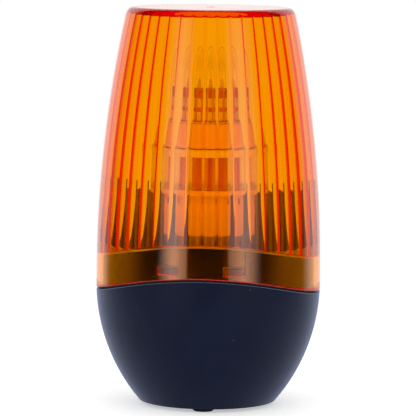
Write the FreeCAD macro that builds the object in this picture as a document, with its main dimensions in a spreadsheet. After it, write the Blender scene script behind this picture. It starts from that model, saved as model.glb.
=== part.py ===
import FreeCAD, Part
import math
import os
import re
import Sketcher

doc = FreeCAD.newDocument("warning_light")

# Driving dimensions in millimetres and degrees.
# Heights are taken from the bottom face of the base, which stands on its feet.
driving_sizes = {
    "body_radius": (47.5, "largest radius of base and lens"),
    "bottom_radius": (29.1, "radius of the bottom face"),
    "bowl_height": (50.0, "height at which the bowl turns upright"),
    "base_wall": (2.6, "wall of the bowl"),
    "floor_thickness": (3.0, "floor of the base"),
    "seam_side_height": (46.7, "ledge height at the sides"),
    "seam_rise": (9.0, "how much higher the ledge arches in front and behind"),
    "gasket_thickness": (0.8, "seal on the ledge"),
    "gasket_inset": (0.9, "seal edge inside the outer face"),
    "seat_gap": (0.25, "lens edge above the seal"),
    "lens_clearance": (0.35, "spigot inside the collar"),
    "neck_wall": (2.35, "wall of the spigot and of the neck under it"),
    "shoulder_thickness": (2.5, "step between spigot and inner wall"),
    "spigot_gap": (1.2, "spigot top below the ends of the flutes"),
    "inner_wall_clearance": (0.6, "inner wall inside the flutes"),
    "inner_wall_thickness": (1.9, "inner wall"),
    "screen_rise": (29.5, "screen at the back of the inner wall, above the ledge"),
    "scoop_rise": (10.8, "inner wall above the ledge in front and at the sides"),
    "screen_setback": (10.0, "sides of the screen, in front of the back of the inner wall"),
    "scoop_corner": (17.0, "rounding from the sides of the screen down to the wall"),
    "horn_rise": (4.3, "upright at each side of the screen, above its top"),
    "horn_sweep": (4.5, "width of an upright"),
    "latch_angle": (17.9, "snap teeth to each side of the front"),
    "tooth_sweep": (11.4, "width of a snap tooth"),
    "tooth_lift": (2.3, "underside of a snap tooth above the ledge"),
    "tooth_rise": (3.3, "height of a snap tooth"),
    "tooth_depth": (1.2, "how far a tooth stands in from the collar"),
    "window_margin": (0.4, "free space round a tooth in its window"),
    "channel_clearance": (0.25, "tooth to the floor of its lead-in"),
    "pad_sweep": (53.0, "width of the latch pad"),
    "pad_lift": (1.4, "underside of the latch pad above the ledge"),
    "pad_rise": (6.7, "height of the latch pad"),
    "pad_depth": (0.4, "depth of the latch pad"),
    "lens_height": (166.7, "top face of the lens"),
    "barrel_start": (55.0, "height at which the lens starts to curve in"),
    "barrel_curve": (515.0, "radius of the curved side of the lens"),
    "collar_wall": (2.4, "smooth collar and outer wall"),
    "collar_height": (15.0, "smooth collar under the flutes"),
    "fluted_wall": (2.9, "wall at the flutes"),
    "top_plate": (2.4, "top of the lens"),
    "top_round": (3.6, "rounding round the top face"),
    "crown_round": (1.0, "rounding inside, under the top plate"),
    "flute_count": (40, "flutes round the lens"),
    "flute_radius": (7.4, "hollow of a flute, across"),
    "flute_spare": (0.2, "lining that the flutes cut away between them"),
    "flute_rim": (1.1, "flutes end below the top plate"),
    "foot_height": (1.6, "feet below the bottom face"),
    "foot_sunk": (1.4, "feet inside the floor"),
    "foot_radius": (4.6, "radius of a foot"),
    "foot_edge": (0.6, "chamfer of a foot"),
    "foot_margin": (2.5, "feet inside the edge of the bottom face"),
    "fixing_radius": (2.6, "fixing hole"),
    "fixing_half_spacing": (20.5, "fixing holes from the middle"),
    "inlet_offset": (13.0, "cable inlet behind the middle"),
    "inlet_radius": (5.5, "hole in the floor for the grommet"),
    "grommet_radius": (7.0, "lips of the grommet"),
    "grommet_bore": (3.3, "cable passage in the grommet"),
    "grommet_lip_outside": (1.0, "lip under the floor"),
    "grommet_lip_inside": (1.2, "lip above the floor"),
    "board_height": (28.0, "underside of the board"),
    "board_thickness": (1.6, "flasher board"),
    "board_clearance": (3.6, "edge of the board inside the bowl"),
    "board_cable_offset": (16.5, "cable hole in the board, behind the middle"),
    "board_cable_radius": (5.5, "cable hole in the board"),
    "driver_access_radius": (4.5, "hole in the board over a fixing hole"),
    "boss_radius": (3.5, "screw bosses"),
    "boss_circle": (25.0, "board bosses from the middle"),
    "screw_hole_radius": (1.25, "hole in a boss"),
    "screw_hole_depth": (11.0, "hole in a boss"),
    "screw_radius": (1.2, "shank of a screw"),
    "screw_reach": (8.0, "shank below the board"),
    "screw_head_radius": (2.8, "head of a screw"),
    "screw_head_height": (1.8, "head of a screw"),
    "screw_clearance_radius": (1.7, "screw hole in board and post"),
    "post_radius": (8.6, "lamp post"),
    "post_bore": (6.0, "inside of the lamp post"),
    "post_head_radius": (14.2, "head of the post under the holder"),
    "post_head_wall": (2.0, "head of the post"),
    "post_head_length": (22.5, "head of the post with its cone"),
    "post_head_cone": (5.0, "cone between the post and its head"),
    "post_band_drop": (5.5, "upper ring line of the post below the holder"),
    "post_band_height": (4.3, "band between the ring lines"),
    "post_band_step": (0.3, "how far the band stands out"),
    "post_foot_radius": (10.5, "foot of the post"),
    "post_foot_height": (3.0, "foot of the post"),
    "post_ear_radius": (4.0, "screw ear of the post"),
    "post_screw_offset": (11.0, "post screws from the middle"),
    "slot_drop": (1.7, "slots in the post below the holder"),
    "slot_rise": (2.6, "height of a slot"),
    "slot_width": (1.8, "width of a slot"),
    "holder_floor": (2.0, "floor of the lamp holder"),
    "holder_low_radius": (19.3, "holder at its underside"),
    "holder_top_radius": (20.0, "holder at its top"),
    "holder_length": (16.2, "lamp holder without its rim ring"),
    "holder_skirt": (1.8, "outer wall of the holder"),
    "holder_core_radius": (9.2, "inner tube of the holder"),
    "plug_depth": (1.5, "plug of the holder in the post"),
    "plug_clearance": (0.1, "plug of the holder in the post"),
    "plug_wall": (1.5, "plug of the holder"),
    "ring_height": (3.0, "rim ring on the holder"),
    "ring_radius": (20.6, "rim ring on the holder"),
    "ring_bore": (8.6, "opening of the rim ring"),
    "grip_count": (36, "grip notches round the rim ring"),
    "grip_radius": (0.7, "grip notch"),
    "grip_outset": (0.3, "middle of a grip notch outside the rim ring"),
    "sleeve_bore": (7.2, "screw sleeve in the holder"),
    "sleeve_wall": (0.4, "screw sleeve in the holder"),
    "contact_thickness": (0.5, "contact strips"),
    "contact_width": (3.0, "contact strips"),
    "contact_back": (4.2, "middle contact, from the axis to its lead end"),
    "contact_front": (1.6, "middle contact, from the axis to its free end"),
    "sleeve_tab_start": (2.6, "tab of the sleeve, from the axis"),
    "lead_offset": (3.2, "leads from the axis"),
    "lead_radius": (0.85, "leads"),
    "lead_hole_radius": (0.95, "lead holes in the holder"),
    "tip_gap": (0.2, "lamp tip above the middle contact"),
    "tip_height": (0.6, "lamp tip"),
    "tip_radius": (2.2, "lamp tip"),
    "insulator_low_radius": (3.4, "insulator at the tip"),
    "insulator_radius": (4.45, "insulator in the cap"),
    "insulator_taper": (1.4, "tapered part of the insulator"),
    "insulator_plug": (1.2, "insulator inside the cap"),
    "cap_mouth": (4.6, "opening at the low end of the cap"),
    "cap_radius": (6.95, "screw cap of the lamp"),
    "cap_wall": (0.35, "screw cap of the lamp"),
    "cap_chamfer": (1.2, "low edge of the cap"),
    "seat_clearance": (0.3, "lamp collar above the rim ring"),
    "flare_low_radius": (16.4, "lamp collar, low"),
    "flare_edge": (1.2, "upright edge of the lamp collar"),
    "flare_top_radius": (12.7, "lamp collar, high"),
    "flare_height": (10.0, "lamp collar"),
    "cover_plug": (0.8, "collar inside the cover"),
    "cover_clearance": (0.25, "collar inside the cover"),
    "cover_radius": (12.9, "clear cover of the lamp"),
    "cover_wall": (1.2, "clear cover of the lamp"),
    "cover_length": (32.4, "clear cover of the lamp"),
    "lamp_headroom": (13.9, "clear cover below the top of the lens"),
    "core_half_width": (7.6, "six-sided core, middle to face"),
    "core_height": (12.6, "six-sided core"),
    "chip_width": (5.4, "light chip"),
    "chip_height": (3.8, "light chip"),
    "chip_depth": (0.9, "light chip"),
    "chip_row_lift": (0.4, "lower row above the foot of the core"),
    "chip_row_pitch": (5.6, "upper row above the lower row"),
    "top_board_radius": (8.9, "end board on the core"),
    "top_board_height": (1.0, "end board on the core"),
    "end_led_radius": (3.4, "light on the end board"),
    "end_led_foot": (0.8, "straight part of the end light"),
    "terminal_margin": (8.5, "terminal block inside the edge of the board"),
    "terminal_width": (11.0, "terminal block"),
    "terminal_depth": (9.0, "terminal block"),
    "terminal_height": (10.0, "terminal block"),
    "pole_half_pitch": (2.6, "wire poles from the middle"),
    "tunnel_width": (4.0, "wire tunnel"),
    "tunnel_depth": (6.5, "wire tunnel"),
    "tunnel_low": (1.4, "underside of the wire tunnel"),
    "tunnel_rise": (4.6, "wire tunnel"),
    "cage_wall": (0.6, "wire cage"),
    "cage_setback": (0.6, "wire cage behind the face"),
    "pole_screw_radius": (1.5, "screw of a wire pole"),
    "pole_screw_length": (3.2, "screw of a wire pole"),
    "capacitor_radius": (5.0, "smoothing capacitor"),
    "capacitor_height": (16.0, "smoothing capacitor"),
    "capacitor_margin": (4.8, "smoothing capacitor inside the edge of the board"),
    "capacitor_angle": (27.5, "smoothing capacitor, from the right"),
    "transistor_margin": (9.4, "middle of the transistor inside the edge of the board"),
    "transistor_angle": (155.2, "switching transistor, from the right"),
    "transistor_width": (10.0, "switching transistor"),
    "transistor_tab": (1.3, "metal tab of the transistor"),
    "transistor_body": (3.2, "plastic part of the transistor"),
    "transistor_body_height": (9.0, "plastic part of the transistor"),
    "transistor_height": (15.5, "tab of the transistor"),
    "transistor_lift": (3.0, "legs of the transistor"),
    "transistor_leg": (0.8, "width of a leg"),
    "transistor_leg_pitch": (2.54, "legs of the transistor"),
    "timer_margin": (10.0, "middle of the timer chip inside the edge of the board"),
    "timer_angle": (-58.9, "timer chip, from the right"),
    "timer_length": (9.6, "timer chip"),
    "timer_width": (6.4, "timer chip"),
    "timer_rise": (3.2, "timer chip"),
    "timer_lift": (0.6, "timer chip above the board"),
    "timer_pin": (0.7, "pins of the timer chip"),
    "timer_pin_pitch": (2.54, "pins of the timer chip"),
}

sheet = doc.addObject("Spreadsheet::Sheet", "Dims")
for row, (name, (number, note)) in enumerate(driving_sizes.items(), start=1):
    sheet.set("A%d" % row, name)
    sheet.set("B%d" % row, str(number))
    sheet.setAlias("B%d" % row, name)
    sheet.set("C%d" % row, note)
doc.recompute()


def bound(expression):
    words = lambda match: "Dims." + match.group(0) if match.group(0) in driving_sizes else match.group(0)
    return re.sub(r"[a-z][a-z_]*", words, str(expression))


def size(expression):
    return float(sheet.evalExpression(bound(expression)))


def bind(item, **settings):
    for name, expression in settings.items():
        item.setExpression(name, bound(expression))
    return item


def place(item, x="0", y="0", z="0", turn=None):
    if turn is not None:
        item.Placement.Rotation = FreeCAD.Rotation(FreeCAD.Vector(0, 0, 1), size(turn))
        item.setExpression("Placement.Rotation.Angle", bound(turn))
    for axis, expression in (("x", x), ("y", y), ("z", z)):
        item.setExpression("Placement.Base." + axis, bound(expression))
    return item


# Sketches

def new_sketch(body, name, plane, turn=None):
    sketch = body.newObject("Sketcher::SketchObject", name)
    support = [item for item in body.Origin.OriginFeatures if item.Role == plane][0]
    sketch.AttachmentSupport = [(support, "")]
    sketch.MapMode = "FlatFace"
    if turn is not None:
        spin = FreeCAD.Rotation(FreeCAD.Vector(0, 1, 0), size(turn))
        sketch.AttachmentOffset = FreeCAD.Placement(FreeCAD.Vector(), spin)
        sketch.setExpression("AttachmentOffset.Rotation.Angle", bound(turn))
    return sketch


def arc_between(start, end, radius, centre_side):
    middle = (start + end) * 0.5
    chord = end - start
    across = FreeCAD.Vector(-chord.y, chord.x, 0).normalize()
    if centre_side == "right":
        across = across * -1
    reach = math.sqrt(max(radius ** 2 - (chord.Length / 2) ** 2, 0.0))
    centre = middle + across * reach
    angles = [math.atan2(point.y - centre.y, point.x - centre.x) for point in (start, end)]
    if centre_side == "right":
        angles.reverse()
    circle = Part.Circle(centre, FreeCAD.Vector(0, 0, 1), radius)
    return Part.ArcOfCircle(circle, angles[0], angles[1])


def fix_point(sketch, geometry, position, x, y):
    if x == "0":
        sketch.addConstraint(Sketcher.Constraint("PointOnObject", geometry, position, -2))
    else:
        index = sketch.addConstraint(Sketcher.Constraint("DistanceX", -1, 1, geometry, position, size(x)))
        sketch.setExpression("Constraints[%d]" % index, bound(x))
    if y == "0":
        sketch.addConstraint(Sketcher.Constraint("PointOnObject", geometry, position, -1))
    else:
        index = sketch.addConstraint(Sketcher.Constraint("DistanceY", -1, 1, geometry, position, size(y)))
        sketch.setExpression("Constraints[%d]" % index, bound(y))


# A closed outline: each corner is (x, y), and (x, y, radius, centre side) starts an arc to the next corner.
def draw_outline(sketch, corners):
    points = [FreeCAD.Vector(size(corner[0]), size(corner[1]), 0) for corner in corners]
    ends = []
    for index, corner in enumerate(corners):
        start = points[index]
        end = points[(index + 1) % len(points)]
        if len(corner) == 2:
            geometry = sketch.addGeometry(Part.LineSegment(start, end), False)
            ends.append((geometry, 1, 2))
        else:
            arc = arc_between(start, end, size(corner[2]), corner[3])
            geometry = sketch.addGeometry(arc, False)
            ends.append((geometry, 2, 1) if corner[3] == "right" else (geometry, 1, 2))
    for index, corner in enumerate(corners):
        geometry, first, last = ends[index]
        following, following_first, unused = ends[(index + 1) % len(ends)]
        sketch.addConstraint(Sketcher.Constraint("Coincident", geometry, last, following, following_first))
        fix_point(sketch, geometry, first, corner[0], corner[1])
        if len(corner) == 4:
            radius = sketch.addConstraint(Sketcher.Constraint("Radius", geometry, size(corner[2])))
            sketch.setExpression("Constraints[%d]" % radius, bound(corner[2]))
    return sketch


def draw_circles(sketch, circles):
    for x, y, radius in circles:
        centre = FreeCAD.Vector(size(x), size(y), 0)
        circle = Part.Circle(centre, FreeCAD.Vector(0, 0, 1), size(radius))
        geometry = sketch.addGeometry(circle, False)
        fix_point(sketch, geometry, 3, x, y)
        index = sketch.addConstraint(Sketcher.Constraint("Radius", geometry, size(radius)))
        sketch.setExpression("Constraints[%d]" % index, bound(radius))
    return sketch


# Solids

def new_body(name):
    return doc.addObject("PartDesign::Body", name)


def turn_profile(body, name, corners, sweep=None, start=None):
    sketch = draw_outline(new_sketch(body, name + "_profile", "XZ_Plane", start), corners)
    turned = body.newObject("PartDesign::Revolution", name)
    turned.Profile = sketch
    turned.ReferenceAxis = (sketch, ["V_Axis"])
    if sweep is None:
        turned.Angle = 360
    else:
        turned.Midplane = True
        bind(turned, Angle=sweep)
    doc.recompute()
    return turned


def turned_body(name, corners):
    body = new_body(name)
    turn_profile(body, name + "_turned", corners)
    return body


def pocket_through(body, name, sketch):
    before = body.Shape.Volume
    pocket = body.newObject("PartDesign::Pocket", name)
    pocket.Profile = sketch
    pocket.SideType = "Symmetric"
    pocket.Type = "ThroughAll"
    doc.recompute()
    if body.Shape.Volume >= before:
        raise RuntimeError(name + " removes nothing")
    return pocket


def polar_pattern(body, name, feature, count):
    pattern = body.newObject("PartDesign::PolarPattern", name)
    pattern.Originals = [feature]
    pattern.Axis = ([item for item in body.Origin.OriginFeatures if item.Role == "Z_Axis"][0], [""])
    pattern.Angle = 360
    bind(pattern, Occurrences=count)
    body.Tip = pattern
    doc.recompute()
    return pattern


def cylinder(name, radius, low, height, x="0", y="0"):
    solid = doc.addObject("Part::Cylinder", name)
    bind(solid, Radius=radius, Height=height)
    return place(solid, x, y, low)


# A piece of a ring, centred on an angle counted from the +X axis.
def ring_piece(name, inside, outside, low, height, middle, sweep):
    start = "(%s) - (%s) / 2" % (middle, sweep)
    outer = doc.addObject("Part::Cylinder", name + "_outer")
    bind(outer, Radius=outside, Height=height, Angle=sweep)
    place(outer, z=low, turn=start)
    inner = cylinder(name + "_inner", inside, low, height)
    return cut(name, outer, [inner])


# A block given by its middle in plan, its underside and its three sizes.
def block(name, x, y, low, width, depth, height, turn=None):
    solid = doc.addObject("Part::Box", name)
    bind(solid, Length=width, Width=depth, Height=height)
    if turn is None:
        return place(solid, "(%s) - (%s) / 2" % (x, width), "(%s) - (%s) / 2" % (y, depth), low)
    along = "(%s) / 2" % width
    across = "(%s) / 2" % depth
    corner_x = "%s - (%s) * cos(%s) + (%s) * sin(%s)" % (x, along, turn, across, turn)
    corner_y = "%s - (%s) * sin(%s) - (%s) * cos(%s)" % (y, along, turn, across, turn)
    return place(solid, corner_x, corner_y, low, turn)


def fuse(name, items):
    joined = doc.addObject("Part::MultiFuse", name)
    joined.Shapes = items
    return joined


def cut(name, item, tools):
    result = doc.addObject("Part::Cut", name)
    result.Base = item
    result.Tool = tools[0] if len(tools) == 1 else fuse(name + "_tools", tools)
    return result


def together(name, items):
    group = doc.addObject("Part::Compound", name)
    group.Links = items
    return group


nodes = []


# Every piece is drawn from the bottom face of the base and lifted onto the feet.
def finish_piece(item, label):
    item.Label = label
    place(item, z="foot_height")
    nodes.append(item)
    return item


# Curves that more than one piece follows
seam_curve = "((body_radius^2 + seam_rise^2) / (2 * seam_rise))"
seam_top = "(seam_side_height + seam_rise)"
bowl_curve = "(((body_radius - bottom_radius)^2 + bowl_height^2) / (2 * (body_radius - bottom_radius)))"
seam_span = "(body_radius + 6)"
beyond = "300"
spigot_radius = "(body_radius - collar_wall - lens_clearance)"
neck_inner_radius = "(body_radius - collar_wall - lens_clearance - neck_wall)"
tooth_height = "(seam_side_height + seam_rise + tooth_lift)"
pad_height = "(seam_side_height + seam_rise + pad_lift)"
foot_circle = "(bottom_radius - foot_radius - foot_margin)"
board_top = "(board_height + board_thickness)"
flute_half_pitch = "((body_radius - fluted_wall) * sin(180 / flute_count))"
ridge_height = "(flute_radius - sqrt(flute_radius^2 - %s^2) + flute_spare)" % flute_half_pitch

# The lamp hangs its heights from the top of the lens, and the post takes up what is left above the board.
cover_top = "(lens_height - top_plate - lamp_headroom)"
flare_top = "(lens_height - top_plate - lamp_headroom - cover_length)"
collar_seat = "(%s - flare_height)" % flare_top
holder_top = "(%s - seat_clearance - ring_height)" % collar_seat
holder_height = "(%s - holder_length)" % holder_top
tip_low = "(%s + holder_floor + contact_thickness + tip_gap)" % holder_height
insulator_low = "(%s + tip_height)" % tip_low
cap_low = "(%s + insulator_taper)" % insulator_low
core_low = "(%s + cover_plug)" % flare_top
core_top = "(%s + core_height)" % core_low
chip_row_low = "(%s + chip_row_lift)" % core_low
chip_row_high = "(%s + chip_row_pitch)" % chip_row_low


def bowl_inside(height):
    reach = "sqrt((%s - base_wall)^2 - (bowl_height - (%s))^2)" % (bowl_curve, height)
    return "(body_radius - %s + %s)" % (bowl_curve, reach)


def barrel_inside(depth, height):
    reach = "sqrt((barrel_curve - (%s))^2 - ((%s) - barrel_start)^2)" % (depth, height)
    return "(body_radius - barrel_curve + %s)" % reach


flute_crest = "fluted_wall + " + ridge_height
screen_height = "(seam_side_height + seam_rise + screen_rise)"
horn_height = "(seam_side_height + seam_rise + screen_rise + horn_rise)"
inner_wall_outside = "(%s - inner_wall_clearance)" % barrel_inside(flute_crest, horn_height)
inner_wall_inside = "(%s - inner_wall_thickness)" % inner_wall_outside
screen_side = "(%s - screen_setback)" % inner_wall_outside
scoop_height = "(seam_side_height + seam_rise + scoop_rise)"
board_radius = "(%s - board_clearance)" % bowl_inside("board_height")
terminal_offset = "(terminal_margin + terminal_depth / 2 - %s)" % board_radius
capacitor_reach = "(%s - capacitor_margin - capacitor_radius)" % board_radius
transistor_reach = "(%s - transistor_margin)" % board_radius
timer_reach = "(%s - timer_margin)" % board_radius


def arch_cut(body, name, crown, away):
    side = "((%s) - %s + sqrt(%s^2 - %s^2))" % (crown, seam_curve, seam_curve, seam_span)
    end = beyond if away == "above" else "-" + beyond
    corners = [
        ("-" + seam_span, side, seam_curve, "right"),
        (seam_span, side),
        (seam_span, end),
        ("-" + seam_span, end),
    ]
    sketch = draw_outline(new_sketch(body, name + "_outline", "XZ_Plane"), corners)
    return pocket_through(body, name, sketch)


# Base
def make_bowl():
    neck_start = "(bowl_height - sqrt((%s - base_wall)^2 - (%s - body_radius + %s)^2))" % (
        bowl_curve, neck_inner_radius, bowl_curve)
    body = turned_body("bowl", [
        ("0", "0"),
        ("bottom_radius", "0", bowl_curve, "left"),
        ("body_radius", "bowl_height"),
        ("body_radius", seam_top + " + 4"),
        (neck_inner_radius, seam_top + " + 4"),
        (neck_inner_radius, neck_start, bowl_curve + " - base_wall", "right"),
        (bowl_inside("floor_thickness"), "floor_thickness"),
        ("0", "floor_thickness"),
    ])
    arch_cut(body, "bowl_arch", seam_top, "above")
    return body


def make_spigot():
    shoulder = "(seam_side_height + collar_height - spigot_gap - shoulder_thickness)"
    low = "(seam_side_height - 8)"
    high = "(seam_side_height + seam_rise + collar_height + 4)"
    body = turned_body("spigot", [
        (neck_inner_radius, low),
        (spigot_radius, low),
        (spigot_radius, high),
        (inner_wall_inside, high),
        (inner_wall_inside, shoulder),
        (neck_inner_radius, shoulder),
    ])
    arch_cut(body, "spigot_arch", seam_top + " + collar_height - spigot_gap", "above")
    return body


def make_inner_wall():
    shoulder = "(seam_side_height + collar_height - spigot_gap - shoulder_thickness)"
    body = turned_body("inner_wall", [
        (inner_wall_inside, shoulder),
        (inner_wall_outside, shoulder),
        (inner_wall_outside, screen_height),
        (inner_wall_inside, screen_height),
    ])
    front = "(-body_radius - 20)"
    sketch = draw_outline(new_sketch(body, "scoop_outline", "YZ_Plane"), [
        (front, scoop_height),
        (screen_side + " - scoop_corner", scoop_height, "scoop_corner", "left"),
        (screen_side, scoop_height + " + scoop_corner"),
        (screen_side, beyond),
        (front, beyond),
    ])
    pocket_through(body, "scoop", sketch)
    return body


# Two uprights stand at the sides of the screen and end a little above it.
def make_horns():
    horns = []
    half_sweep = "acos(%s / %s) / 1deg" % (screen_side, inner_wall_outside)
    height = "%s - %s" % (horn_height, scoop_height)
    for index, side in enumerate(("-", "+")):
        middle = "90 %s (%s - horn_sweep / 2)" % (side, half_sweep)
        horns.append(ring_piece("screen_horn_%d" % index, inner_wall_inside, inner_wall_outside,
                                scoop_height, height, middle, "horn_sweep"))
    return horns


def boss_places():
    places = []
    for angle in (90, 210, 330):
        places.append(("boss_circle * cos(%d)" % angle, "boss_circle * sin(%d)" % angle))
    return places


def post_screw_places():
    return [("-post_screw_offset", "0"), ("post_screw_offset", "0")]


def latch_angles():
    return ["270 - latch_angle", "270 + latch_angle"]


def make_base():
    bosses = []
    holes = []
    boss_low = "floor_thickness / 2"
    for index, (x, y) in enumerate(boss_places() + post_screw_places()):
        boss_rise = "board_height - (%s)" % boss_low
        bosses.append(cylinder("boss_%d" % index, "boss_radius", boss_low, boss_rise, x, y))
        hole_low = "board_height - screw_hole_depth"
        hole_rise = "screw_hole_depth + 1"
        holes.append(cylinder("boss_hole_%d" % index, "screw_hole_radius", hole_low, hole_rise, x, y))
    for index, x in enumerate(("-fixing_half_spacing", "fixing_half_spacing")):
        holes.append(cylinder("fixing_hole_%d" % index, "fixing_radius", "-1", "floor_thickness + 2", x))
    holes.append(cylinder("inlet_hole", "inlet_radius", "-1", "floor_thickness + 2", "0", "inlet_offset"))
    for index, angle in enumerate((30, 150, 270)):
        x = "%s * cos(%d)" % (foot_circle, angle)
        y = "%s * sin(%d)" % (foot_circle, angle)
        holes.append(cylinder("foot_pocket_%d" % index, "foot_radius", "-1", "foot_sunk + 1", x, y))
    outside = "(body_radius - 0.5)"
    tooth_face = "(body_radius - collar_wall - tooth_depth)"
    for index, angle in enumerate(latch_angles()):
        sweep = "(tooth_sweep + 2 * window_margin)"
        holes.append(ring_piece("latch_window_%d" % index, inner_wall_inside + " - 1", outside,
                                tooth_height + " - window_margin", "tooth_rise + 2 * window_margin",
                                angle, sweep))
        holes.append(ring_piece("latch_lead_in_%d" % index, tooth_face + " - channel_clearance", outside,
                                tooth_height, "40", angle, sweep))
    holes.append(ring_piece("latch_pad", spigot_radius + " - pad_depth", outside,
                            pad_height, "pad_rise", "270", "pad_sweep"))
    walls = [make_bowl(), make_spigot(), make_inner_wall()] + make_horns()
    shell = fuse("base_shell", walls + bosses)
    finish_piece(cut("base_housing", shell, holes), "base_housing")


def make_feet():
    feet = []
    for index, angle in enumerate((30, 150, 270)):
        foot = turned_body("foot_%d" % index, [
            ("0", "-foot_height"),
            ("foot_radius - foot_edge", "-foot_height"),
            ("foot_radius", "foot_edge - foot_height"),
            ("foot_radius", "foot_sunk"),
            ("0", "foot_sunk"),
        ])
        x = "%s * cos(%d)" % (foot_circle, angle)
        y = "%s * sin(%d)" % (foot_circle, angle)
        feet.append(place(foot, x, y))
    finish_piece(together("rubber_feet", feet), "rubber_feet")


def make_grommet():
    ring = turned_body("grommet_ring", [
        ("grommet_bore", "-grommet_lip_outside"),
        ("grommet_radius", "-grommet_lip_outside"),
        ("grommet_radius", "0"),
        ("inlet_radius", "0"),
        ("inlet_radius", "floor_thickness"),
        ("grommet_radius", "floor_thickness"),
        ("grommet_radius", "floor_thickness + grommet_lip_inside"),
        ("grommet_bore", "floor_thickness + grommet_lip_inside"),
    ])
    place(ring, y="inlet_offset")
    finish_piece(together("cable_grommet", [ring]), "cable_grommet")


def make_gasket():
    body = turned_body("lens_gasket", [
        (spigot_radius + " + 0.1", "seam_side_height - 4"),
        ("body_radius - gasket_inset", "seam_side_height - 4"),
        ("body_radius - gasket_inset", seam_top + " + 4"),
        (spigot_radius + " + 0.1", seam_top + " + 4"),
    ])
    arch_cut(body, "gasket_top", seam_top + " + gasket_thickness", "above")
    arch_cut(body, "gasket_seat", seam_top, "below")
    finish_piece(body, "lens_gasket")


# Lens: a fluted lining that ends in an arch, inside a smooth wall that goes on down as the collar
def make_flutes():
    low = "(seam_side_height + collar_height - 4)"
    middle = "(collar_wall / 2)"
    plate_top = "(lens_height - collar_wall / 2)"
    plate_low = "(lens_height - top_plate)"
    round_low = "(lens_height - top_plate - crown_round)"
    body = turned_body("lens_flutes", [
        (barrel_inside(middle, low), low, "barrel_curve - " + middle, "left"),
        (barrel_inside(middle, plate_top), plate_top),
        ("0", plate_top),
        ("0", plate_low),
        (barrel_inside(flute_crest, round_low) + " - crown_round", plate_low, "crown_round", "right"),
        (barrel_inside(flute_crest, round_low), round_low, "barrel_curve - (%s)" % flute_crest, "right"),
        (barrel_inside(flute_crest, low), low),
    ])
    outline = new_sketch(body, "flute_outline", "XY_Plane")
    # Half a pitch of turn brings a ridge to the front.
    half_turn = "180 / flute_count"
    spin = FreeCAD.Rotation(FreeCAD.Vector(0, 0, 1), size(half_turn))
    outline.AttachmentOffset = FreeCAD.Placement(FreeCAD.Vector(), spin)
    outline.setExpression("AttachmentOffset.Rotation.Angle", bound(half_turn))
    outline.setExpression("AttachmentOffset.Base.z", bound("barrel_start"))
    draw_circles(outline, [("body_radius - fluted_wall - flute_radius", "0", "flute_radius")])
    # The hollow of a flute is swept about the middle of the curved side.
    turning_x = size("body_radius - barrel_curve")
    ends = [FreeCAD.Vector(turning_x, -10, 0), FreeCAD.Vector(turning_x, 10, 0)]
    axis = outline.addGeometry(Part.LineSegment(*ends), True)
    fix_point(outline, axis, 1, "body_radius - barrel_curve", "-10")
    fix_point(outline, axis, 2, "body_radius - barrel_curve", "10")
    flute = body.newObject("PartDesign::Groove", "flute")
    flute.Profile = outline
    flute.ReferenceAxis = (outline, ["Axis0"])
    flute.Reversed = True
    bind(flute, Angle="asin((%s - flute_rim - barrel_start) / (barrel_curve - fluted_wall))" % plate_low)
    doc.recompute()
    polar_pattern(body, "flutes", flute, "flute_count")
    arch_cut(body, "flute_ends", seam_top + " + collar_height", "below")
    return body


def make_lens_wall():
    low = "(seam_side_height - 4)"
    plate_low = "(lens_height - collar_wall)"
    body = turned_body("lens_wall", [
        ("body_radius", low),
        ("body_radius", "barrel_start", "barrel_curve", "left"),
        (barrel_inside("0", "lens_height"), "lens_height"),
        ("0", "lens_height"),
        ("0", plate_low),
        (barrel_inside("collar_wall", plate_low), plate_low, "barrel_curve - collar_wall", "right"),
        ("body_radius - collar_wall", "barrel_start"),
        ("body_radius - collar_wall", low),
    ])
    rims = []
    for index, edge in enumerate(body.Shape.Edges, start=1):
        box = edge.BoundBox
        if box.ZMin > size("lens_height") - 0.01 and box.XLength > 10:
            rims.append("Edge%d" % index)
    turned = body.Tip
    rounding = body.newObject("PartDesign::Fillet", "top_rounding")
    rounding.Base = (turned, rims)
    bind(rounding, Radius="top_round")
    doc.recompute()
    arch_cut(body, "lens_edge", seam_top + " + gasket_thickness + seat_gap", "below")
    return body


def make_lens():
    pieces = [make_lens_wall(), make_flutes()]
    collar_inside = "(body_radius - collar_wall)"
    for index, angle in enumerate(latch_angles()):
        pieces.append(ring_piece("snap_tooth_%d" % index, collar_inside + " - tooth_depth",
                                 collar_inside + " + collar_wall / 2", tooth_height, "tooth_rise",
                                 angle, "tooth_sweep"))
    finish_piece(fuse("lens", pieces), "lens")


# Board and its parts
def make_board():
    circles = [("0", "0", board_radius), ("0", "board_cable_offset", "board_cable_radius")]
    for x in ("-fixing_half_spacing", "fixing_half_spacing"):
        circles.append((x, "0", "driver_access_radius"))
    for x, y in boss_places() + post_screw_places():
        circles.append((x if x != "boss_circle * cos(90)" else "0", y, "screw_clearance_radius"))
    body = new_body("board_plate")
    sketch = draw_circles(new_sketch(body, "board_outline", "XY_Plane"), circles)
    sheet_pad = body.newObject("PartDesign::Pad", "board_sheet")
    sheet_pad.Profile = sketch
    bind(sheet_pad, Length="board_thickness")
    doc.recompute()
    place(body, z="board_height")
    finish_piece(together("board", [body]), "flasher_board")


def make_screw(name, seat, reach, x, y):
    screw = turned_body(name, [
        ("0", "-(%s)" % reach),
        ("screw_radius", "-(%s)" % reach),
        ("screw_radius", "0"),
        ("screw_head_radius", "0"),
        ("screw_head_radius", "screw_head_height * 0.6"),
        ("screw_head_radius * 0.7", "screw_head_height"),
        ("0", "screw_head_height"),
    ])
    return place(screw, x, y, seat)


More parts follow.
